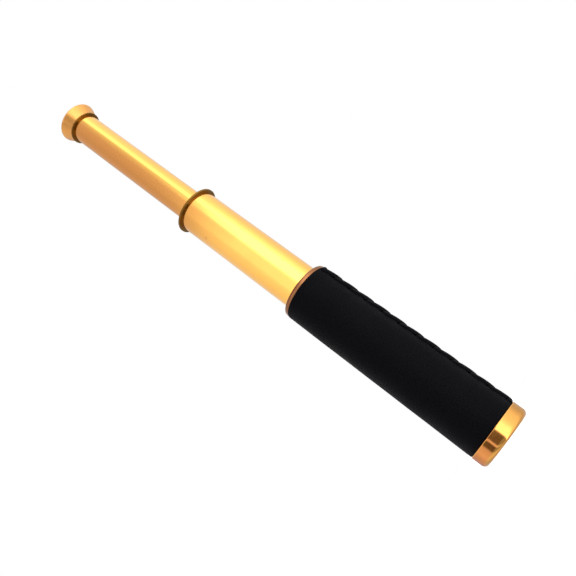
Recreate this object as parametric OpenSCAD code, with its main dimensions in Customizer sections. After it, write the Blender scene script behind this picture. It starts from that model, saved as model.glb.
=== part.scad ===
// Two-draw pocket telescope: leather-covered brass barrel, two brass draw tubes, four lens groups.
// The optical axis is Z. Z = 0 is the rim of the objective cell, and the eyecup is at the top.
// The draws are shown pulled out, the main draw a little short of its stop.

/* [Eye draw] */
// Outside diameter of the eye draw tube
eye_d = 13.57; // [11:0.05:17]
// Wall of the eye draw tube
eye_wall = 0.5; // [0.4:0.05:0.8]
// Radial room between the eye draw and the main draw tube, which the bush and the flange fill
eye_room = 2.1; // [1.8:0.05:3]
// Pull that is left in the eye draw before its stop
eye_spare = 0.9; // [0.5:0.1:12]
// Length of the bush that the eye draw slides in
eye_bush_len = 6.9; // [4:0.1:10]
// Length of the stop ring on the inner end of the eye draw
eye_stop_len = 3.0; // [2.4:0.1:6]

/* [Main draw] */
// Wall of the main draw tube
main_wall = 0.6; // [0.5:0.05:0.9]
// Radial room between the main draw and the barrel, which the bush and the collar fill
main_room = 1.5; // [1.3:0.05:3]
// Pull that is left in the main draw before its stop
main_spare = 11.2; // [0.5:0.1:24]
// Length of the bush that the main draw slides in
main_bush_len = 7.8; // [5:0.1:12]
// Length of the stop ring on the inner end of the main draw
main_stop_len = 4.5; // [3.5:0.1:8]
// Thickness of the flange at the main draw's outer end
flange_t = 1.1; // [0.9:0.1:3]
// How far the flange stands out from the main draw tube
flange_proud = 1.42; // [0.8:0.02:2.4]

/* [Barrel] */
// Wall of the barrel tube
barrel_wall = 0.7; // [0.5:0.05:1]
// Length of the leather sleeve
leather_len = 87.3; // [70:0.1:120]
// Thickness of the leather
leather_t = 0.855; // [0.8:0.005:1.6]
// Length of the collar's head, outside the barrel tube
collar_head = 1.9; // [1.4:0.1:4]
// How far the collar's head stands out from the barrel tube
collar_proud = 0.6; // [0.2:0.05:1]

/* [Seam] */
// Width of the raised seam along the leather
seam_w = 4.4; // [3:0.1:6]
// Height of the raised seam above the leather
seam_h = 0.5; // [0.2:0.02:0.8]
// Diameter of the sewing thread
thread_d = 0.6; // [0.4:0.05:0.8]
// Distance from one stitch to the next
stitch_pitch = 7.8; // [4:0.1:12]
// Slope of a stitch from straight across the seam
stitch_slope = 60; // [40:1:70]
// Length of one stitch
stitch_len = 6.4; // [4:0.1:7]
// Angle that the seam leans from the barrel's axis
seam_lean = 1.5; // [0:0.1:3]

/* [Objective] */
// Length of the cell's polished band
band_len = 6; // [5:0.1:12]
// Wall of the band outside the barrel tube's radius
band_proud = 1.015; // [0.6:0.005:1.6]
// Radius of the band's front edge
band_edge = 1.9; // [0.4:0.1:2]
// Radius of the band's rear edge, next to the leather
band_rear_edge = 0.3; // [0.1:0.05:0.5]
// Length of the spigot that screws into the barrel tube
spigot_len = 3.0; // [2:0.1:5]
// Wall of the spigot
spigot_wall = 0.8; // [0.6:0.05:1]
// Depth of the mouth, from the rim to the seat of the lenses
mouth_depth = 1.8; // [1.5:0.1:2.4]
// Width of the lip that holds the lenses
lip_w = 0.7; // [0.5:0.05:1]
// Edge thickness of the crown lens
crown_edge = 1.2; // [0.8:0.1:1.6]
// Edge thickness of the flint lens
flint_edge = 2.0; // [1.8:0.1:2.6]
// Bulge of each curved face of the objective
objective_bulge = 1.1; // [0.6:0.1:1.3]
// Length of the retaining ring
cell_ring_len = 1.6; // [1:0.1:2]

/* [Erector] */
// Length of the erector tube
erector_len = 32; // [24:0.5:40]
// Depth of the lens pocket at each end of the erector tube
erector_pocket = 3.6; // [3:0.1:5]
// Diameter of the hole in the erector stop
erector_hole = 2.8; // [2:0.1:4]

/* [Eyepiece] */
// Thickness of the eyepiece collar's shoulder
shoulder_t = 0.8; // [0.6:0.1:2]
// How far the shoulder stands out from the eye draw tube
shoulder_proud = 1.2; // [0.5:0.02:1.5]
// Length of the eyepiece collar inside the eye draw tube
eyepiece_spigot = 5; // [3:0.5:8]
// Length of the eyecup outside the collar
eyecup_len = 5.7; // [5:0.1:9]
// How far the eyecup's rim stands out from the eye draw tube
eyecup_flare = 2.76; // [2:0.02:4]
// Depth of the dish in the eyecup
dish_depth = 3.4; // [2:0.1:3.8]
// Diameter of the eye hole
eye_hole = 6.4; // [5:0.1:7]
// Distance from the field lens cell to the eyepiece collar
field_gap = 9; // [6:0.5:14]

/* [Fits] */
// Radial clearance where a draw or a guide ring slides or turns
running = 0.05; // [0.02:0.01:0.08]
// Gap left where two pieces come to a stop
stop_gap = 0.2; // [0.1:0.05:0.4]
// Gap between the closed main draw and the objective cell
shut_room = 0.8; // [0.4:0.1:2]
// How far each bush sits below the face around it
bush_recess = 0.5; // [0:0.1:1]

/* [Hidden] */
$fn = 96;

slack = 1;                  // how far a cutter passes the face that it cuts
groove_wall = 0.75;         // radial depth of the groove that a guide ring rides in
groove_land = 0.8;          // length of the land on each side of a guide ring's groove
stop_clear = 0.5;           // radial clearance of a stop ring, which only its guide ring bridges
ring_wall_min = 0.6;        // a retaining ring's radial width
slit_w = 0.8;               // slits that let a bush grip
slit_count = 3;
ring_split = 1.2;           // gap in a split guide ring
lens_fn = 240;              // fine enough for the shallow curve of a lens face

// Radii, from the eye draw outwards
eye_r = eye_d / 2;
eye_bore = eye_r - eye_wall;
main_bore = eye_r + eye_room;
main_r = main_bore + main_wall;
barrel_bore = main_r + main_room;
barrel_r = barrel_bore + barrel_wall;
leather_r = barrel_r + leather_t;
band_r = barrel_r + band_proud;
collar_r = barrel_r + collar_proud;
flange_r = main_r + flange_proud;
bush_wall = 0.7;            // wall of each slit bush
eye_bush_bore = eye_r + running;
main_bush_bore = main_r + running;

// Objective cell, from the rim upwards
pocket_r = barrel_bore - spigot_wall;
mouth_r = pocket_r - lip_w;
crown_z = mouth_depth + objective_bulge - drop(pocket_r, objective_bulge, mouth_r);
flint_z = crown_z + crown_edge;
cell_ring_z = flint_z + flint_edge;
spigot_end = band_len + spigot_len;
ring_bore = pocket_r - ring_wall_min;

// Barrel
leather_end = band_len + leather_len;
collar_end = leather_end + collar_head;
main_bush_top = collar_end - bush_recess;
main_bush_z = main_bush_top - main_bush_len;
collar_spigot = main_bush_len + bush_recess - collar_head;
stitch_count = floor((leather_len - stitch_pitch / 2) / stitch_pitch);
stitch_z = band_len + (leather_len - (stitch_count - 1) * stitch_pitch) / 2;

// Main draw: shut, it nearly meets the objective cell, and its flange nearly meets the collar
main_len = collar_end + stop_gap - spigot_end - shut_room;
main_z = main_bush_z - stop_gap - main_spare - main_stop_len;
flange_z = main_z + main_len;
flange_end = flange_z + flange_t;
main_guide_z = main_z + groove_land;
main_guide_len = main_stop_len - 2 * groove_land;
main_stop_r = barrel_bore - stop_clear;
main_groove_r = main_stop_r - groove_wall;

// Eye draw: shut, its inner end stays just inside the main draw
eye_bush_top = flange_end - bush_recess;
eye_bush_z = eye_bush_top - eye_bush_len;
eye_z = eye_bush_z - stop_gap - eye_spare - eye_stop_len;
eye_len = flange_end - main_z;
eye_end = eye_z + eye_len;
eye_guide_z = eye_z + groove_land;
eye_guide_len = eye_stop_len - 2 * groove_land;
eye_stop_r = main_bore - stop_clear;
eye_groove_r = eye_stop_r - groove_wall;

// Erector
erector_wall = 0.55;
erector_seat = 0.75;        // shoulder that each erector lens rests on
erector_pocket_r = eye_bore - erector_wall;
erector_bore = erector_pocket_r - erector_seat;
erector_waist_r = erector_bore + erector_wall;
erector_end = eye_z + erector_len;
erector_edge = 0.8;         // edge thickness of an erector lens
erector_bulge = 1.2;
erector_ring_len = 1;
erector_stop_t = 0.5;

// Eyepiece
shoulder_r = eye_r + shoulder_proud;
shoulder_end = eye_end + shoulder_t;
eyepiece_wall = 0.7;        // wall of the eyepiece collar's spigot, and of the eyecup's neck
neck_short = 1;             // how much shorter the eyecup's neck is than that spigot
neck_r = eye_bore - eyepiece_wall;
neck_z = eye_end - eyepiece_spigot + neck_short;
eyecup_end = shoulder_end + eyecup_len;
eyecup_r = eye_r + eyecup_flare;
root_step = 0.4;            // step from the shoulder in to the eyecup's root
eyecup_root_r = shoulder_r - root_step;
dish_z = eyecup_end - dish_depth;
eye_web = 1.2;              // wall between the dish and the eye lens
eye_lens_r = neck_r - eyepiece_wall;
eye_lens_edge = 1;
eye_lens_bulge = 1.5;
eye_lens_z = dish_z - eye_web;
eye_ring_len = 1.2;
field_len = 5;
field_z = eye_end - eyepiece_spigot - field_gap - field_len;
field_wall = 0.6;
field_lens_r = eye_bore - field_wall;
field_edge = 0.9;
field_bulge = 1.3;
field_hole = 8;             // diameter of the field stop

// Radius of the sphere that gives a lens face of radius r a bulge h
function face_radius(r, h) = (r * r + h * h) / (2 * h);
// How far a lens face of radius r and bulge h has dropped at radius x
function drop(r, h, x) = face_radius(r, h) - sqrt(pow(face_radius(r, h), 2) - x * x);

// Plain ring from z, with the given bore, outside radius and length
module ring(z, bore, r, len) {
  translate([0, 0, z])
    difference() {
      cylinder(r = r, h = len);
      translate([0, 0, -slack]) cylinder(r = bore, h = len + 2 * slack);
    }
}

// Square in the half plane, from radius a to radius b and from z0 to z1
module block(a, b, z0, z1) {
  translate([a, z0]) square([b - a, z1 - z0]);
}

// Block whose outer corners are rounded: low at its bottom, high at its top
module round_block(a, b, z0, z1, low, high) {
  difference() {
    block(a, b, z0, z1);
    if (low > 0) translate([b - low, z0 + low]) corner(low, -1);
    if (high > 0) translate([b - high, z1 - high]) corner(high, 1);
  }
}

// The waste outside a quarter circle of radius r, towards the top (up = 1) or the bottom (-1)
module corner(r, up) {
  difference() {
    translate([0, up > 0 ? 0 : -r - slack]) square([r + slack, r + slack]);
    circle(r = r);
  }
}

// Half outline of a domed lens face: everything within the face's sphere, whose tip is at z
module dome(z, r, bulge, up) {
  sphere_r = face_radius(r, bulge);
  translate([0, up ? z - sphere_r : z + sphere_r]) circle(r = sphere_r, $fn = lens_fn);
}

// Lens with one flat and one domed face; the dome points up or down from its edge
module plano_lens(z, r, edge, bulge, up) {
  rotate_extrude()
    intersection() {
      block(0, r, up ? z : z - bulge, up ? z + edge + bulge : z + edge);
      dome(up ? z + edge + bulge : z - bulge, r, bulge, up);
    }
}

// Slits through one end of a bush, so that it grips the draw
module slits(z, r, len) {
  for (i = [0 : slit_count - 1])
    rotate(i * 360 / slit_count)
      translate([0, -slit_w / 2, z]) cube([r + slack, slit_w, len]);
}

// Split spring ring that rides in a stop ring's groove
module guide_ring(z, len, bore, r) {
  difference() {
    ring(z, bore, r, len);
    translate([0, -ring_split / 2, z - slack]) cube([r + slack, ring_split, len + 2 * slack]);
  }
}

// Stop ring with a groove for its guide ring
module stop_ring(z, len, bore, r, groove_r, guide_z, guide_len) {
  difference() {
    ring(z, bore, r, len);
    ring(guide_z, groove_r, r + slack, guide_len);
  }
}

module objective_cell() {
  color("goldenrod")
    rotate_extrude()
      difference() {
        union() {
          round_block(mouth_r, band_r, 0, band_len, band_edge, band_rear_edge);
          block(mouth_r, barrel_bore, band_len, spigot_end);
        }
        block(0, pocket_r, mouth_depth, spigot_end + slack);
        polygon([[0, -slack], [mouth_r + lip_w + slack, -slack], [mouth_r, lip_w]]);
      }
}

module crown_lens() {
  color("lightcyan", 0.5)
    rotate_extrude()
      intersection() {
        block(0, pocket_r, crown_z - objective_bulge, flint_z + objective_bulge);
        dome(crown_z - objective_bulge, pocket_r, objective_bulge, false);
        dome(flint_z + objective_bulge, pocket_r, objective_bulge, true);
      }
}

module flint_lens() {
  color("azure", 0.5)
    rotate_extrude()
      difference() {
        block(0, pocket_r, flint_z, cell_ring_z);
        dome(flint_z + objective_bulge, pocket_r, objective_bulge, true);
      }
}

module objective_retaining_ring() {
  color("dimgray") ring(cell_ring_z, ring_bore, pocket_r, cell_ring_len);
}

module barrel_tube() {
  color("darkgoldenrod") ring(band_len, barrel_bore, barrel_r, leather_len);
}

// Leans what runs along the seam, about the middle of the sleeve
module leaning() {
  middle = band_len + leather_len / 2;
  translate([0, 0, middle]) rotate([seam_lean, 0, 0]) translate([0, 0, -middle]) children();
}

// One stitch, lying across the top of the seam
module stitch(i) {
  translate([leather_r + seam_h, 0, stitch_z + i * stitch_pitch])
    rotate([90 - stitch_slope, 0, 0])
      cylinder(d = thread_d, h = stitch_len, center = true);
}

module leather_sleeve() {
  color([0.06, 0.06, 0.07])
    difference() {
      union() {
        ring(band_len, barrel_r, leather_r, leather_len);
        intersection() {
          ring(band_len, barrel_r, leather_r + seam_h, leather_len);
          leaning()
            translate([0, -seam_w / 2, band_len - slack])
              cube([leather_r * 2, seam_w, leather_len + 2 * slack]);
        }
      }
      leaning()
        for (i = [0 : stitch_count - 1]) stitch(i);
    }
}

module seam_thread() {
  color([0.1, 0.1, 0.1])
    leaning()
      for (i = [0 : stitch_count - 1]) stitch(i);
}

module barrel_collar() {
  color("gold")
    rotate_extrude()
      difference() {
        union() {
          round_block(main_bush_bore, collar_r, leather_end, collar_end, 0, collar_head / 2);
          block(main_bush_bore, barrel_bore, leather_end - collar_spigot, leather_end);
        }
        block(0, main_bush_bore + bush_wall, leather_end - collar_spigot - slack, collar_end + slack);
      }
}

module barrel_bush() {
  color("peru")
    difference() {
      ring(main_bush_z, main_bush_bore, main_bush_bore + bush_wall, main_bush_len);
      slits(main_bush_z - slack, main_bush_bore + bush_wall, main_bush_len * 0.7 + slack);
    }
}

module main_guide_ring() {
  color("sandybrown")
    guide_ring(main_guide_z + running, main_guide_len - 2 * running, main_groove_r + running, barrel_bore - running);
}

module main_draw_tube() {
  color("gold") ring(main_z, main_bore, main_r, main_len);
}

module main_stop_ring() {
  color("darkgoldenrod")
    stop_ring(main_z, main_stop_len, main_r, main_stop_r, main_groove_r, main_guide_z, main_guide_len);
}

module main_draw_flange() {
  flange_edge = flange_t / 3;
  flange_spigot = eye_bush_len + bush_recess - flange_t;
  color("olive")
    rotate_extrude()
      difference() {
        union() {
          round_block(eye_bush_bore, flange_r, flange_z, flange_end, flange_edge, flange_edge);
          block(eye_bush_bore, main_bore, flange_z - flange_spigot, flange_z);
        }
        block(0, eye_bush_bore + bush_wall, flange_z - flange_spigot - slack, flange_end + slack);
      }
}

module main_draw_bush() {
  color("peru")
    difference() {
      ring(eye_bush_z, eye_bush_bore, eye_bush_bore + bush_wall, eye_bush_len);
      slits(eye_bush_z - slack, eye_bush_bore + bush_wall, eye_bush_len * 0.7 + slack);
    }
}

module eye_guide_ring() {
  color("sandybrown")
    guide_ring(eye_guide_z + running, eye_guide_len - 2 * running, eye_groove_r + running, main_bore - running);
}

module eye_draw_tube() {
  color("gold") ring(eye_z, eye_bore, eye_r, eye_len);
}

module eye_stop_ring() {
  color("darkgoldenrod")
    stop_ring(eye_z, eye_stop_len, eye_r, eye_stop_r, eye_groove_r, eye_guide_z, eye_guide_len);
}

module erector_tube() {
  color("dimgray")
    rotate_extrude()
      difference() {
        block(erector_bore, eye_bore, eye_z, erector_end);
        block(0, erector_pocket_r, eye_z - slack, eye_z + erector_pocket);
        block(0, erector_pocket_r, erector_end - erector_pocket, erector_end + slack);
        block(erector_waist_r, eye_bore + slack, eye_z + erector_pocket + erector_seat * 2,
              erector_end - erector_pocket - erector_seat * 2);
      }
}

module erector_front_lens() {
  color("lightcyan", 0.5)
    plano_lens(eye_z + erector_pocket - erector_edge, erector_pocket_r, erector_edge, erector_bulge, false);
}

module erector_front_ring() {
  bore = erector_pocket_r - ring_wall_min;
  touch = drop(erector_pocket_r, erector_bulge, bore);
  lens_tip = eye_z + erector_pocket - erector_edge - erector_bulge;
  color("dimgray") ring(lens_tip + touch - erector_ring_len, bore, erector_pocket_r, erector_ring_len);
}

module erector_stop() {
  color("dimgray") ring((eye_z + erector_end) / 2, erector_hole / 2, erector_bore, erector_stop_t);
}

module erector_rear_lens() {
  color("lightcyan", 0.5)
    plano_lens(erector_end - erector_pocket, erector_pocket_r, erector_edge, erector_bulge, true);
}

module erector_rear_ring() {
  bore = erector_pocket_r - ring_wall_min;
  touch = drop(erector_pocket_r, erector_bulge, bore);
  lens_tip = erector_end - erector_pocket + erector_edge + erector_bulge;
  color("dimgray") ring(lens_tip - touch, bore, erector_pocket_r, erector_ring_len);
}

module field_cell() {
  color("dimgray")
    difference() {
      ring(field_z, field_hole / 2, eye_bore, field_len);
      translate([0, 0, field_z - slack]) cylinder(r = field_lens_r, h = field_len - field_wall + slack);
    }
}

module field_lens() {
  color("lightcyan", 0.5)
    plano_lens(field_z + field_len - field_wall - field_edge, field_lens_r, field_edge, field_bulge, false);
}

module field_ring() {
  bore = field_lens_r - ring_wall_min;
  touch = drop(field_lens_r, field_bulge, bore);
  lens_tip = field_z + field_len - field_wall - field_edge - field_bulge;
  color("dimgray") ring(lens_tip + touch - erector_ring_len, bore, field_lens_r, erector_ring_len);
}

module eyepiece_collar() {
  color("saddlebrown")
    rotate_extrude() {
      round_block(neck_r, shoulder_r, eye_end, shoulder_end, shoulder_t / 3, shoulder_t / 3);
      block(neck_r, eye_bore, eye_end - eyepiece_spigot, eye_end);
    }
}

module eye_lens() {
  color("lightcyan", 0.5)
    plano_lens(eye_lens_z - eye_lens_edge, eye_lens_r, eye_lens_edge, eye_lens_bulge, false);
}

module eye_lens_ring() {
  bore = eye_lens_r - ring_wall_min;
  touch = drop(eye_lens_r, eye_lens_bulge, bore);
  lens_tip = eye_lens_z - eye_lens_edge - eye_lens_bulge;
  color("dimgray") ring(lens_tip + touch - eye_ring_len, bore, eye_lens_r, eye_ring_len);
}

// Cup: the outside is a cone from the root to the rim, which is a rounded lip round the dish
module eyecup() {
  lip_r = 0.7;                              // radius of the rim's rounded lip
  lip_x = eyecup_r - lip_r;                 // centre of that rounding
  lip_z = eyecup_end - lip_r;
  run = lip_x - eyecup_root_r;
  rise = lip_z - shoulder_end;
  flank = atan2(rise, run) - asin(lip_r / sqrt(run * run + rise * rise)); // slope that just meets the lip
  dish_r = eyecup_r - 2 * lip_r;
  color("gold")
    rotate_extrude()
      difference() {
        union() {
          polygon([[eye_hole / 2, shoulder_end], [eyecup_root_r, shoulder_end],
                   [lip_x + lip_r * sin(flank), lip_z - lip_r * cos(flank)], [lip_x, lip_z],
                   [eye_hole / 2, lip_z]]);
          translate([lip_x, lip_z]) circle(r = lip_r);
          block(eye_hole / 2, lip_x, lip_z - lip_r, eyecup_end);
          block(eye_lens_r, neck_r, neck_z, shoulder_end);
        }
        block(0, eye_lens_r, neck_z - slack, eye_lens_z);
        polygon([[0, dish_z], [eye_hole / 2, dish_z], [dish_r, eyecup_end], [dish_r, eyecup_end + slack],
                 [0, eyecup_end + slack]]);
        block(0, eye_hole / 2, eye_lens_z - slack, dish_z + slack);
      }
}

objective_cell();
crown_lens();
flint_lens();
objective_retaining_ring();
barrel_tube();
leather_sleeve();
seam_thread();
barrel_collar();
barrel_bush();
main_guide_ring();
main_draw_tube();
main_stop_ring();
main_draw_flange();
main_draw_bush();
eye_guide_ring();
eye_draw_tube();
eye_stop_ring();
erector_tube();
erector_front_lens();
erector_front_ring();
erector_stop();
erector_rear_lens();
erector_rear_ring();
field_cell();
field_lens();
field_ring();
eyepiece_collar();
eye_lens();
eye_lens_ring();
eyecup();
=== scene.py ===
# %% [markdown]
# # A two-draw brass pocket telescope
#
# The telescope is a stack of brass tubes. The barrel is covered in black leather, sewn along one side,
# and two brass draws slide out of it. The solid model already has every tube, ring and lens at its true
# size, so this lesson adds what a solid model can't show: leather with a sewn seam, twisted thread, and
# the finish of each brass part. Every length is in metres, and the optical axis is Z.

# %% Load the solid model
import math

import bmesh
import bpy
from mathutils import Matrix, Vector, noise


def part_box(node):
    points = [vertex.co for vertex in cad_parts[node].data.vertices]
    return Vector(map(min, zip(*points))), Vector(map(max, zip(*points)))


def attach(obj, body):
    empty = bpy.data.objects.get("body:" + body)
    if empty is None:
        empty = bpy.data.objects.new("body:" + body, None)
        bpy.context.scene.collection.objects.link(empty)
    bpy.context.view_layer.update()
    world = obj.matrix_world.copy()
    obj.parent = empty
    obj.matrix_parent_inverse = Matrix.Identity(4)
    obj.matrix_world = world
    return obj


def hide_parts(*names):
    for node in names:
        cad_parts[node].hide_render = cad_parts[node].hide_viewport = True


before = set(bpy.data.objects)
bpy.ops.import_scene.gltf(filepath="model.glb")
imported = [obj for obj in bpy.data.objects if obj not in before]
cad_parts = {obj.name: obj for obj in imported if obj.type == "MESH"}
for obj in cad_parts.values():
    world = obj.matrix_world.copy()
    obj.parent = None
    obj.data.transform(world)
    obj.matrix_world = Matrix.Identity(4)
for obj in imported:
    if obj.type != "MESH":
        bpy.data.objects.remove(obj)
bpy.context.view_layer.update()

MM = 0.001
scene = bpy.context.scene

# %% [markdown]
# ## The camera
#
# The telescope points away from us and we look up along it, so the near end looks wider. A camera can be
# aimed with a Track To constraint, but three turns say exactly what is done on a tripod: walk round the
# tube, tip the camera up, and roll it. The matrices are multiplied in that order, and the last one is the
# roll, because it happens about the camera's own axis.

# %% Aim the camera
WALK = math.radians(17)          # round the tube, from straight in front of -Y
DISTANCE = 252.29 * MM           # from the optical axis
HEIGHT = 8.4 * MM                # above the objective's rim
PAN = math.radians(0.737)
TIP_UP = math.radians(20.233)
ROLL = math.radians(-53.202)

camera_data = bpy.data.cameras.new("camera")
camera_data.sensor_width = 36
camera_data.lens = 40.94
camera_data.clip_start = 10 * MM
camera = bpy.data.objects.new("camera", camera_data)
scene.collection.objects.link(camera)
scene.camera = camera
camera.matrix_world = (
    Matrix.Rotation(WALK, 4, "Z")
    @ Matrix.Translation((0, -DISTANCE, HEIGHT))
    @ Matrix.Rotation(PAN, 4, "Z")
    @ Matrix.Rotation(math.radians(90) + TIP_UP, 4, "X")
    @ Matrix.Rotation(ROLL, 4, "Z")
)
print("camera at", [round(c / MM) for c in camera.matrix_world.translation], "mm")

# %% [markdown]
# ## One helper for every node
#
# Materials and the sky are both trees of nodes, and building one by hand is mostly the same three jobs:
# make a node, set its options, and join its inputs. One small function does all three. An input that is
# given a socket is linked to it, and any other value is typed into it. Colours are written as the hex
# values that a paint chart has, which are sRGB, and Blender works in linear light, so they are converted.

# %% Helpers for node trees
def add(tree, kind, inputs=None, **settings):
    """Adds a node, sets its options, and links or sets its inputs."""
    made = tree.nodes.new(kind)
    for name, value in settings.items():
        setattr(made, name, value)
    for key, value in (inputs or {}).items():
        if isinstance(value, bpy.types.NodeSocket):
            tree.links.new(value, made.inputs[key])
        else:
            made.inputs[key].default_value = value
    return made


def linear(hex_colour):
    """A colour such as "F9B463" as linear red, green, blue and alpha."""
    parts = [int(hex_colour[i:i + 2], 16) / 255 for i in (0, 2, 4)]
    return *[p / 12.92 if p <= 0.04045 else ((p + 0.055) / 1.055) ** 2.4 for p in parts], 1.0


MIX_A, MIX_B, MIX_RESULT = 6, 7, 2     # a mix node's colour sockets, whose names aren't unique


def mix(tree, factor, first, second):
    """A blend of two colours, which is the first one where the factor is 0."""
    made = add(tree, "ShaderNodeMix", {"Factor": factor, MIX_A: first, MIX_B: second}, data_type="RGBA")
    return made.outputs[MIX_RESULT]


# %% [markdown]
# ## The room that the brass mirrors
#
# Polished metal has no colour of its own until something is reflected in it, so for brass the light is
# half of the look. In a studio the telescope would stand in a white tent with one broad soft window. The
# tent here is the world's background: four rings of brightness round the tube, one for each height that
# the tubes mirror. The dark shape of the camera is in the level ring, and blurred in the low one. Angles
# are counted round the tube from the camera's side, towards the sewn seam. The camera sees plain white.

# %% Light the room
PEAK = 3.2                       # the window's brightness, where white paper is 1
WHITE, WARM, ROSE = (1, 1, 1), (1, 0.72, 0.6), (1, 0.78, 0.95)
LEVEL_RING = [
    (-180, 0.6, ROSE), (-150, 0.5, ROSE), (-120, 0.64, ROSE), (-95, 0.86, ROSE), (-66, 0.7, ROSE),
    (-58, 0.14, WARM), (-40, 0.12, WARM), (-38, 0.9, ROSE), (-33, 0.9, ROSE), (-30, 0.14, WARM),
    (5, 0.15, WARM), (8, 2.5, WHITE), (34, 2.2, WHITE), (46, 1.55, WHITE), (57, 1.3, WHITE),
    (86, 1.15, WHITE), (102, 0.86, WHITE), (121, 0.64, WHITE), (152, 0.6, WHITE), (180, 0.6, WHITE),
]
SOFT_DARK = 0.36                 # the camera's shape is blurred where the room is mirrored from below
LOW_RING = [(angle, max(level, SOFT_DARK), WHITE) for angle, level, tint in LEVEL_RING]
RAISED_RING = [
    (-180, 0.8, WHITE), (-150, 0.9, WHITE), (-100, 1.05, WHITE), (-57, 1.3, WHITE), (-40, 1.6, WHITE),
    (0, 1.65, WHITE), (10, 2.0, WHITE), (18, 3.2, WHITE), (55, 3.1, WHITE), (71, 2.0, WHITE),
    (86, 1.65, WHITE), (102, 1.3, WHITE), (121, 1.1, WHITE), (152, 0.9, WHITE), (180, 0.8, WHITE),
]
HIGH_RING = [
    (-180, 0.6, WHITE), (-102, 0.66, ROSE), (-71, 0.62, ROSE), (-46, 0.66, ROSE), (0, 0.74, ROSE),
    (28, 0.85, WHITE), (37, 1.0, WHITE), (44, 2.2, WHITE), (60, 2.1, WHITE), (78, 1.5, WHITE),
    (102, 1.3, WHITE), (152, 0.9, WHITE), (180, 0.6, WHITE),
]

world = bpy.data.worlds.new("white_tent")
scene.world = world
world.use_nodes = True
sky = world.node_tree
sky.nodes.clear()
look = add(sky, "ShaderNodeTexCoord")
camera_side = math.atan2(camera.matrix_world.translation.y, camera.matrix_world.translation.x)
turned = add(sky, "ShaderNodeVectorRotate", {"Vector": look.outputs["Generated"], "Angle": -camera_side},
             rotation_type="Z_AXIS")
around = add(sky, "ShaderNodeTexGradient", {"Vector": turned.outputs[0]}, gradient_type="RADIAL")
height = add(sky, "ShaderNodeSeparateXYZ", {"Vector": look.outputs["Generated"]}).outputs["Z"]


def ring(stops):
    """A ring of light round the tube, as a colour ramp over the angle."""
    made = add(sky, "ShaderNodeValToRGB", {"Fac": around.outputs["Fac"]})
    elements = made.color_ramp.elements
    while len(elements) < len(stops):
        elements.new(0.5)
    for element, (angle, level, tint) in zip(elements, stops):
        element.position = angle / 360 + 0.5
    for element, (angle, level, tint) in zip(elements, stops):
        element.color = *[level / PEAK * part for part in tint], 1
    return made.outputs["Color"]


def from_height(low, high):
    """0 below one height and 1 above the other, where 1 is straight up."""
    return add(sky, "ShaderNodeMapRange", {"Value": height, "From Min": low, "From Max": high},
               interpolation_type="SMOOTHSTEP").outputs[0]


lower = mix(sky, from_height(-0.32, -0.14), ring(LOW_RING), ring(LEVEL_RING))
middle = mix(sky, from_height(0.03, 0.1), lower, ring(RAISED_RING))
tent = mix(sky, from_height(0.455, 0.53), middle, ring(HIGH_RING))
room = add(sky, "ShaderNodeBackground", {"Color": tent, "Strength": PEAK})
backdrop = add(sky, "ShaderNodeBackground", {"Color": (1, 1, 1, 1), "Strength": 1.0})
seen = add(sky, "ShaderNodeLightPath").outputs["Is Camera Ray"]
both = add(sky, "ShaderNodeMixShader", {0: seen, 1: room.outputs[0], 2: backdrop.outputs[0]})
add(sky, "ShaderNodeOutputWorld", {"Surface": both.outputs[0]})
scene.view_settings.view_transform = "Standard"
print("world nodes:", len(sky.nodes))

# %% [markdown]
# ## The floor
#
# The floor is a sheet of matt white paper under the objective's rim, lit a little from behind as on a light
# table, so that it stays white into the distance. It is left out of reflections, because the tent already
# gives the brass a pale surface to mirror on that side.

# %% Lay the floor
FLOOR_SIDE = 3.0


def new_material(name, **shader_inputs):
    """A node material: the material, its tree, its shader, and the object's own coordinates."""
    made = bpy.data.materials.new(name)
    made.use_nodes = True
    tree = made.node_tree
    tree.nodes.clear()
    shader = add(tree, "ShaderNodeBsdfPrincipled", {k.replace("_", " "): v for k, v in shader_inputs.items()})
    add(tree, "ShaderNodeOutputMaterial", {"Surface": shader.outputs[0]})
    place = add(tree, "ShaderNodeTexCoord").outputs["Object"]
    return made, tree, shader, place


def new_piece(bm, name, material):
    """A smooth-shaded object made from a bmesh, which is then freed."""
    mesh = bpy.data.meshes.new(name)
    bm.to_mesh(mesh)
    bm.free()
    mesh.shade_smooth()
    mesh.materials.append(material)
    piece = bpy.data.objects.new(name, mesh)
    scene.collection.objects.link(piece)
    print(name, "-", len(mesh.polygons), "faces")
    return piece


paper, tree, shader, place = new_material("matt_paper", Roughness=0.9, Emission_Strength=0.5,
                                          Emission_Color=(1, 1, 1, 1))
fibres = add(tree, "ShaderNodeTexNoise", {"Vector": place, "Scale": 1 / (40 * MM), "Detail": 4.0})
tone = mix(tree, fibres.outputs["Fac"], linear("FBFBFA"), linear("FFFFFF"))
tree.links.new(tone, shader.inputs["Base Color"])

bm = bmesh.new()
bmesh.ops.create_grid(bm, x_segments=1, y_segments=1, size=FLOOR_SIDE / 2)
floor = new_piece(bm, "floor", paper)
floor.visible_glossy = False

# %% [markdown]
# ## Brass, in eight finishes
#
# Brass is an alloy of copper and zinc. All its finishes here share one set of nodes, which follows how
# the part was made. A tube is drawn through a die, which leaves fine lines along it, and a turned part has
# them round it, where the tool went. Both patterns are noise that is stretched: in one the Z coordinate
# is nearly flat, and in the other the angle is left out, because only radius and Z are kept. The lines
# tilt the reflections a little. On top come cloudy patches of tarnish and a few dark specks.

# %% A function for brass
DRAWN, TURNED = "drawn", "turned"
LINES_MM = 0.12                  # spacing of tool lines, drawn coarser than real ones so that they show
PATCH_MM = 11                    # size of a patch of tarnish
SPECK_MM = 9                     # distance between specks
LINE_DEPTH = 0.01 * MM
ALONG = 0.008                    # how much Z counts in a drawn tube's lines, where X and Y count 1
LINES_ROUGH = 0.12               # range of roughness that the lines give, centred on the finish's own
DULL_ROUGH = 0.25                # what full tarnish adds to it


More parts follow.
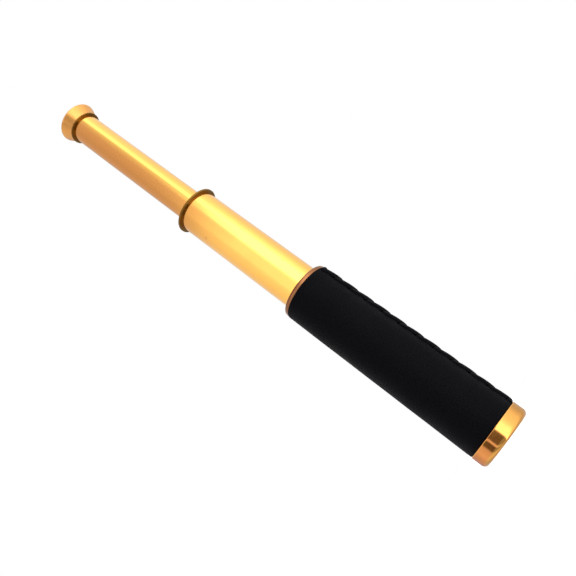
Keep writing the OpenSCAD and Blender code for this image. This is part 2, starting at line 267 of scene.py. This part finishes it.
def brass(name, colour, tarnish, roughness, made_by, lines=0.25, patches=0.35, specks=0.0, **shader_inputs):
    """Brass that was drawn or turned, with its lines, its tarnish and its specks."""
    made, tree, shader, place = new_material(name, Metallic=1.0, **shader_inputs)
    flat = add(tree, "ShaderNodeVectorMath", {0: place, 1: (1, 1, 0)}, operation="MULTIPLY")
    if made_by == DRAWN:
        stretched = add(tree, "ShaderNodeVectorMath", {0: place, 1: (1, 1, ALONG)}, operation="MULTIPLY")
        path = stretched.outputs[0]
    else:
        radius = add(tree, "ShaderNodeVectorMath", {0: flat.outputs[0]}, operation="LENGTH")
        z = add(tree, "ShaderNodeSeparateXYZ", {0: place})
        path = add(tree, "ShaderNodeCombineXYZ",
                   {"X": radius.outputs["Value"], "Z": z.outputs["Z"]}).outputs[0]
    marks = add(tree, "ShaderNodeTexNoise", {"Vector": path, "Scale": 1 / (LINES_MM * MM), "Detail": 3.0})
    clouds = add(tree, "ShaderNodeTexNoise", {"Vector": place, "Scale": 1 / (PATCH_MM * MM), "Detail": 5.0,
                                              "Roughness": 0.6})
    stain = add(tree, "ShaderNodeMapRange", {"Value": clouds.outputs["Fac"], "From Min": 0.45,
                                             "From Max": 0.8, "To Max": patches})
    dots = add(tree, "ShaderNodeTexVoronoi", {"Vector": place, "Scale": 1 / (SPECK_MM * MM)})
    speck = add(tree, "ShaderNodeMapRange", {"Value": dots.outputs["Distance"], "From Min": 0.03,
                                             "From Max": 0.08, "To Min": specks, "To Max": 0.0})
    dull = add(tree, "ShaderNodeMath", {0: stain.outputs[0], 1: speck.outputs[0]}, operation="ADD",
               use_clamp=True)
    tone = mix(tree, dull.outputs[0], linear(colour), linear(tarnish))
    tree.links.new(tone, shader.inputs["Base Color"])
    worn = add(tree, "ShaderNodeMath",
               {0: marks.outputs["Fac"], 1: LINES_ROUGH, 2: roughness - LINES_ROUGH / 2},
               operation="MULTIPLY_ADD")
    rough = add(tree, "ShaderNodeMath", {0: dull.outputs[0], 1: DULL_ROUGH, 2: worn.outputs[0]},
                operation="MULTIPLY_ADD")
    tree.links.new(rough.outputs[0], shader.inputs["Roughness"])
    bump = add(tree, "ShaderNodeBump", {"Height": marks.outputs["Fac"], "Strength": lines,
                                        "Distance": LINE_DEPTH})
    tree.links.new(bump.outputs[0], shader.inputs["Normal"])
    print("finish:", name)
    return made


# %% [markdown]
# ### Polished brass
#
# The objective cell and the eyecup are what fingers touch, so they were buffed after turning, and they
# mirror the room sharply. The copper in the alloy shows most here, as a warm, slightly pink gold.
#
# ### Lacquered brass tube
#
# The draws are drawn tube under clear lacquer. The lacquer keeps them bright yellow and softens the
# window into a long band. Here the lacquer is the shader's coat, and its wear is the rougher marks.
#
# ### Darkened, plain, spring and blackened brass
#
# The flange and the eyepiece collar are given a dark brown brass. Inner tubes are left as they were drawn.
# The bushes are springy, and rubbed bright by the draws. Whatever the light passes is blackened, so that it
# doesn't glare. The barrel's collar is lacquered like the draws, and it is painted dark copper, as a painted
# dark reflection of the black leather beside it. The eyecup was polished like the objective cell. Its finish
# is softer, and its colour is a darker, redder copy of the polished brass, which is painted shade for the dim
# lower part of the room that it mirrors.

# %% Make the brass finishes
finishes = {
    "polished_brass": brass("polished_brass", "F9B45C", "C98C58", 0.1, TURNED, lines=0.05, patches=0.3),
    "lacquered_brass": brass("lacquered_brass_tube", "F9BC5E", "D99A4E", 0.15, DRAWN, lines=0.12,
                             patches=0.14, specks=0.6, Coat_Weight=0.12, Coat_Roughness=0.08),
    "darkened_brass": brass("darkened_brass", "8A6428", "4A3614", 0.36, TURNED, patches=0.6),
    "plain_brass": brass("plain_drawn_brass", "D8A050", "8F6430", 0.3, DRAWN, lines=0.4, patches=0.6),
    "spring_brass": brass("spring_brass", "E0AC58", "A87A3C", 0.24, TURNED, patches=0.4),
    "blackened_brass": brass("blackened_brass", "14120F", "2A2018", 0.62, TURNED, patches=0.5),
}
# The eyecup gets a darker, redder copy of the polished brass: painted shade. Its higher roughness is its own
# softer finish.
eyecup_brass_painted_shade = brass("polished_brass_painted_shade", "E3A459", "AC7145", 0.32, TURNED, lines=0.08, patches=0.35)
# The collar's dark copper colour is a painted dark reflection of the black leather beside it.
collar_brass_painted_reflection = brass("lacquered_brass_painted_dark_reflection", "8A5C3C", "5E3A26", 0.25, TURNED, patches=0.3)

# %% [markdown]
# ## Lens glass
#
# The lenses are polished glass with no coating. Glass is mostly what it reflects and bends, so the
# shader transmits all light and only a breath of dust makes it uneven. Its IOR is that of crown glass.

# %% Make the glass
glass, tree, shader, place = new_material("crown_glass", Transmission_Weight=1.0, IOR=1.52,
                                          Base_Color=linear("F4FBF6"))
dust = add(tree, "ShaderNodeTexNoise", {"Vector": place, "Scale": 1 / (0.8 * MM), "Detail": 3.0})
haze = add(tree, "ShaderNodeMapRange", {"Value": dust.outputs["Fac"], "From Min": 0.55, "From Max": 0.8,
                                        "To Max": 0.12})
tree.links.new(haze.outputs[0], shader.inputs["Roughness"])
finishes["lens_glass"] = glass

# %% [markdown]
# ## The leather
#
# The barrel is covered with one piece of black leather, wrapped round and sewn edge to edge. Tanned hide
# has a grain of small plates with creases between them. A Voronoi texture gives the plates, at about the
# size of goatskin's, and finer noise gives the pores. Hands polish a cover unevenly, which shows in its
# soft sheen, so slow noise drives the roughness.

# %% Make the leather's finish
GRAIN_MM = 0.75                  # one plate of the grain
PORE_MM = 0.16
HANDLED_MM = 16                  # size of the patches that hands have polished

leather, tree, shader, place = new_material("black_goatskin", Specular_IOR_Level=0.045)
bend = add(tree, "ShaderNodeTexNoise", {"Vector": place, "Scale": 1 / (2.4 * MM), "Detail": 2.0})
pull = add(tree, "ShaderNodeVectorMath", {0: bend.outputs["Color"], 1: (0.5 * MM,) * 3}, operation="MULTIPLY")
bent = add(tree, "ShaderNodeVectorMath", {0: place, 1: pull.outputs[0]}, operation="ADD")
plates = add(tree, "ShaderNodeTexVoronoi", {"Vector": bent.outputs[0], "Scale": 1 / (GRAIN_MM * MM)},
             feature="DISTANCE_TO_EDGE")
crease = add(tree, "ShaderNodeMapRange", {"Value": plates.outputs["Distance"], "From Max": 0.16},
             interpolation_type="SMOOTHSTEP")
pores = add(tree, "ShaderNodeTexNoise", {"Vector": place, "Scale": 1 / (PORE_MM * MM), "Detail": 2.0})
hide = add(tree, "ShaderNodeMath", {0: pores.outputs["Fac"], 1: 0.3, 2: crease.outputs[0]},
           operation="MULTIPLY_ADD")
handled = add(tree, "ShaderNodeTexNoise", {"Vector": place, "Scale": 1 / (HANDLED_MM * MM), "Detail": 3.0})
# The creases between the grain's plates are painted darker than the plates: painted shade.
tone = mix(tree, crease.outputs[0], linear("020204"), linear("05060A"))
tree.links.new(tone, shader.inputs["Base Color"])
matt = add(tree, "ShaderNodeMapRange", {"Value": handled.outputs["Fac"], "From Min": 0.3, "From Max": 0.7,
                                        "To Min": 0.44, "To Max": 0.58})
tree.links.new(matt.outputs[0], shader.inputs["Roughness"])
bump = add(tree, "ShaderNodeBump", {"Height": hide.outputs[0], "Strength": 0.8, "Distance": 0.08 * MM})
tree.links.new(bump.outputs[0], shader.inputs["Normal"])
finishes["black_leather"] = leather

# %% [markdown]
# ### The sleeve's shape
#
# A sleeve is a shape of revolution, so it starts as its own cross-section: a thin rectangle with its two
# outer corners rounded. The long outer side is cut into many short edges, because they will carry the
# seam, and then the section is spun round Z. It is spun in two sweeps, a fine one where the seam will be
# and a coarser one for the rest, and the last section is merged with the first.

# %% Spin the sleeve
EDGE_ROUND = 0.45 * MM           # the skived edge at each end
RING_STEP = 0.27 * MM            # from one ring of faces to the next
SEAM_STEP = 0.13 * MM            # and round the tube, near the seam
ROUND_STEP = 0.6 * MM            # and elsewhere
SEAM_REACH = math.radians(19)    # half of the fine sweep
TOUCHING = 0.01 * MM             # vertices closer than this are one

sleeve_low, sleeve_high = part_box("leather_sleeve")
core_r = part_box("barrel_tube")[1].x
skin_r = -sleeve_low.x           # the seam is on the +X side, so -X gives the plain radius
sleeve_bottom, sleeve_top = sleeve_low.z, sleeve_high.z

bm = bmesh.new()
corners = [bm.verts.new((r, 0, z)) for r, z in (
    (core_r, sleeve_bottom), (skin_r, sleeve_bottom), (skin_r, sleeve_top), (core_r, sleeve_top))]
for near, far in zip(corners, corners[1:] + corners[:1]):
    bm.edges.new((near, far))
bmesh.ops.bevel(bm, geom=corners[1:3], affect="VERTICES", offset=EDGE_ROUND, segments=4, profile=0.5,
                material=-1)
outer = max((e for e in bm.edges if min(v.co.x for v in e.verts) > skin_r - EDGE_ROUND / 2),
            key=lambda e: e.calc_length())
bmesh.ops.subdivide_edges(bm, edges=[outer], cuts=int(outer.calc_length() / RING_STEP))
bmesh.ops.rotate(bm, verts=bm.verts, cent=(0, 0, 0), matrix=Matrix.Rotation(-SEAM_REACH, 3, "Z"))
section = bm.verts[:] + bm.edges[:]
for sweep, step in ((2 * SEAM_REACH, SEAM_STEP), (2 * (math.pi - SEAM_REACH), ROUND_STEP)):
    spun = bmesh.ops.spin(bm, geom=section, cent=(0, 0, 0), axis=(0, 0, 1), angle=sweep,
                          steps=round(sweep * skin_r / step), use_merge=False)
    section = spun["geom_last"]
bmesh.ops.remove_doubles(bm, verts=bm.verts, dist=TOUCHING)
bmesh.ops.recalc_face_normals(bm, faces=bm.faces)
print("sleeve:", len(bm.verts), "vertices, open edges:", sum(e.is_boundary for e in bm.edges))

# %% [markdown]
# ### The sewn seam
#
# The two edges meet in a raised seam, which leans a little from the tube's axis. The thread crosses it on a
# slant and pulls it in, so the leather swells into a leaf-shaped lobe between each stitch and the next. The
# shape is a height above the plain sleeve: a steep dome across the seam, whose width and height are both
# greatest half way between two stitches. Where the lobe's edge is pressed against the sleeve there is a
# deep crease. A small dent marks each hole that the thread goes into, and slow noise keeps the sleeve
# from being a perfect cylinder. Each vertex is moved along its own radius.

# %% Raise the seam
STITCHES = 10
SLANT = math.radians(30)         # of a stitch, from the seam's line
LEAN = math.radians(1.5)         # of the seam, from the tube's axis
SEAM_HALF = 2.3 * MM
WAIST = 0.15                     # the seam's width at a stitch, as a share of a lobe's
STITCH_HALF = 3.2 * MM
THREAD_D = 0.6 * MM
CREASE_DEPTH = 0.6 * MM
CREASE_SIZE = 0.3 * MM
HOLE_DEPTH = 0.3 * MM
HOLE_SIZE = 0.5 * MM
END_FADE = 1.0 * MM
REACH = 3                        # a crease or a dent is lost beyond this many of its sizes
WAVE = 0.05 * MM
WAVE_LENGTH = 14 * MM

thread_low, thread_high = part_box("seam_thread")
seam_rise = thread_high.x - skin_r
stitch_rise = STITCH_HALF * math.cos(SLANT + LEAN) + THREAD_D / 2 * math.sin(SLANT + LEAN)
first_stitch = thread_low.z + stitch_rise
stitch_pitch = (thread_high.z - thread_low.z - 2 * stitch_rise) / (STITCHES - 1)
sleeve_middle = (sleeve_bottom + sleeve_top) / 2
print("stitch pitch:", round(stitch_pitch / MM, 2), "mm, seam rise:", round(seam_rise / MM, 2), "mm")


def seam_line(z):
    """How far the seam's middle lies round the tube, at a height."""
    return (sleeve_middle - z) * math.tan(LEAN)


def seam_height(across, z):
    """How far the leather stands above the plain sleeve, at a distance across the seam and a height."""
    turn = (z + across / math.tan(SLANT) - first_stitch) / stitch_pitch
    nearness = 1 - 2 * abs(turn - round(turn))
    lobe = math.sqrt(max(0.0, 1 - nearness ** 2))
    half = SEAM_HALF * (WAIST + (1 - WAIST) * lobe)
    rise = seam_rise * math.sqrt(max(0.0, 1 - (across / half) ** 2)) * lobe
    crease = CREASE_DEPTH * math.exp(-((abs(across) - half) / CREASE_SIZE) ** 2)
    dent = 0.0
    for number in range(STITCHES):
        for side in (-1, 1):
            hole_z = first_stitch + number * stitch_pitch + side * STITCH_HALF * math.cos(SLANT)
            gap = math.hypot(across + side * STITCH_HALF * math.sin(SLANT), z - hole_z)
            dent += HOLE_DEPTH * math.exp(-(gap / HOLE_SIZE) ** 2) if gap < REACH * HOLE_SIZE else 0
    end = max(0.0, min(1.0, (z - sleeve_bottom) / END_FADE, (sleeve_top - z) / END_FADE))
    return (rise - crease - dent) * math.sin(end * math.pi / 2)


for vert in bm.verts:
    radius = math.hypot(vert.co.x, vert.co.y)
    if radius > skin_r - EDGE_ROUND * 1.01:
        across = math.atan2(vert.co.y, vert.co.x) * skin_r - seam_line(vert.co.z)
        lift = WAVE * (noise.noise(vert.co / WAVE_LENGTH) - 0.5)
        if abs(across) < SEAM_HALF + REACH * CREASE_SIZE:
            lift += seam_height(across, vert.co.z)
        share = (radius + lift) / radius
        vert.co.x *= share
        vert.co.y *= share

sleeve = new_piece(bm, "sewn_leather_sleeve", leather)
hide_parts("leather_sleeve")
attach(sleeve, "barrel")

# %% [markdown]
# ### The thread
#
# Waxed sewing thread is two plies twisted together. One ply is a small circle that is spun round the
# thread's centre while it climbs, which gives a helix, and the second ply is the first one turned by half
# a turn. The straight thread is then bent: its ends go down into their holes, it lies in the valley
# between two lobes, and it follows the sleeve's curve. The last step repeats it along the seam.

# %% Twist and lay the thread
PLY_R = 0.165 * MM
PLY_SIDES = 8
TWIST_R = 0.14 * MM              # from the thread's centre to a ply's
TWIST_PITCH = 1.5 * MM
TWIST_STEPS = 60
DIVE = 0.9 * MM                  # how deep an end goes
DIVE_FROM = 0.72                 # share of a stitch's half where the dive starts
THREAD_LIFT = 0.12 * MM          # the thread's centre above the plain sleeve

thread, tree, shader, place = new_material("waxed_linen_thread", Specular_IOR_Level=0.06)
fuzz = add(tree, "ShaderNodeTexNoise", {"Vector": place, "Scale": 1 / (0.09 * MM), "Detail": 3.0})
tone = mix(tree, fuzz.outputs["Fac"], linear("020203"), linear("0A0A0C"))
tree.links.new(tone, shader.inputs["Base Color"])
waxed = add(tree, "ShaderNodeMapRange", {"Value": fuzz.outputs["Fac"], "To Min": 0.35, "To Max": 0.6})
tree.links.new(waxed.outputs[0], shader.inputs["Roughness"])
bump = add(tree, "ShaderNodeBump", {"Height": fuzz.outputs["Fac"], "Strength": 0.3, "Distance": 0.02 * MM})
tree.links.new(bump.outputs[0], shader.inputs["Normal"])
finishes["waxed_thread"] = thread

climb = 2 * STITCH_HALF
twist = 2 * math.pi * climb / TWIST_PITCH
bm = bmesh.new()
for ply in (0, math.pi):
    circle = bmesh.ops.create_circle(bm, segments=PLY_SIDES, radius=PLY_R)["verts"]
    bmesh.ops.translate(bm, verts=circle, vec=(TWIST_R, 0, -STITCH_HALF))
    bmesh.ops.rotate(bm, verts=circle, cent=(0, 0, 0), matrix=Matrix.Rotation(ply, 3, "Z"))
    rim = list({edge for vert in circle for edge in vert.link_edges})
    bmesh.ops.spin(bm, geom=circle + rim, cent=(0, 0, 0), axis=(0, 0, 1), angle=twist,
                   dvec=(0, 0, climb / TWIST_STEPS), steps=TWIST_STEPS, use_merge=False)
bmesh.ops.holes_fill(bm, edges=[e for e in bm.edges if e.is_boundary], sides=PLY_SIDES)
bmesh.ops.recalc_face_normals(bm, faces=bm.faces)
straight = bpy.data.meshes.new("straight_thread")
bm.to_mesh(straight)
bm.free()


def on_the_seam(point, stitch_z):
    """Where a point of the straight thread lies on the sleeve, for the stitch at that height."""
    along = point.z / STITCH_HALF
    sink = max(0.0, abs(along) - DIVE_FROM) / (1 - DIVE_FROM)
    z = stitch_z + point.z * math.cos(SLANT) + point.y * math.sin(SLANT)
    across = seam_line(z) + point.y * math.cos(SLANT) - point.z * math.sin(SLANT)
    radius = skin_r + THREAD_LIFT + point.x - DIVE * sink ** 2
    return Vector((radius * math.cos(across / skin_r), radius * math.sin(across / skin_r), z))


bm = bmesh.new()
for number in range(STITCHES):
    before = len(bm.verts)
    bm.from_mesh(straight)
    bm.verts.ensure_lookup_table()
    for vert in bm.verts[before:]:
        vert.co = on_the_seam(vert.co, first_stitch + number * stitch_pitch)
bpy.data.meshes.remove(straight)
stitches = new_piece(bm, "seam_stitches", thread)
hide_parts("seam_thread")
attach(stitches, "barrel")

# %% [markdown]
# The leather was cut flat, as long as the sleeve and as wide as the barrel's girth at the middle of its own
# thickness, and it is held on by its sewing.

# %% [markdown]
# ## Finish every solid piece
#
# The remaining pieces keep the solid model's own meshes. Each is given the finish that its slot names, but
# two of them get a darker copy of it: painted shade on the eyecup and a painted dark reflection on the
# collar.

# %% Give each solid piece its finish
SLOT_OF = {
    "polished_brass": ["objective_cell", "eyecup"],
    "lacquered_brass": ["barrel_collar", "main_draw_tube", "eye_draw_tube"],
    "darkened_brass": ["main_draw_flange", "eyepiece_collar"],
    "plain_brass": ["barrel_tube", "main_stop_ring", "eye_stop_ring"],
    "spring_brass": ["barrel_bush", "main_draw_bush", "main_guide_ring", "eye_guide_ring"],
    "blackened_brass": ["objective_retaining_ring", "erector_tube", "erector_front_ring", "erector_stop",
                        "erector_rear_ring", "field_cell", "field_ring", "eye_lens_ring"],
    "lens_glass": ["crown_lens", "flint_lens", "erector_front_lens", "erector_rear_lens", "field_lens",
                   "eye_lens"],
    "black_leather": ["leather_sleeve"],
    "waxed_thread": ["seam_thread"],
}
# Darker copies of two finishes: painted shade on the eyecup, a painted dark reflection on the collar.
PAINTED_DARK_COPIES = {"barrel_collar": collar_brass_painted_reflection, "eyecup": eyecup_brass_painted_shade}
for slot, names in SLOT_OF.items():
    for name in names:
        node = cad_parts[name]
        node.data.materials.clear()
        node.data.materials.append(PAINTED_DARK_COPIES.get(name, finishes[slot]))
    print(slot, "->", len(names), "pieces")
unfinished = set(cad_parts) - {name for names in SLOT_OF.values() for name in names}
print("pieces without a finish:", sorted(unfinished))
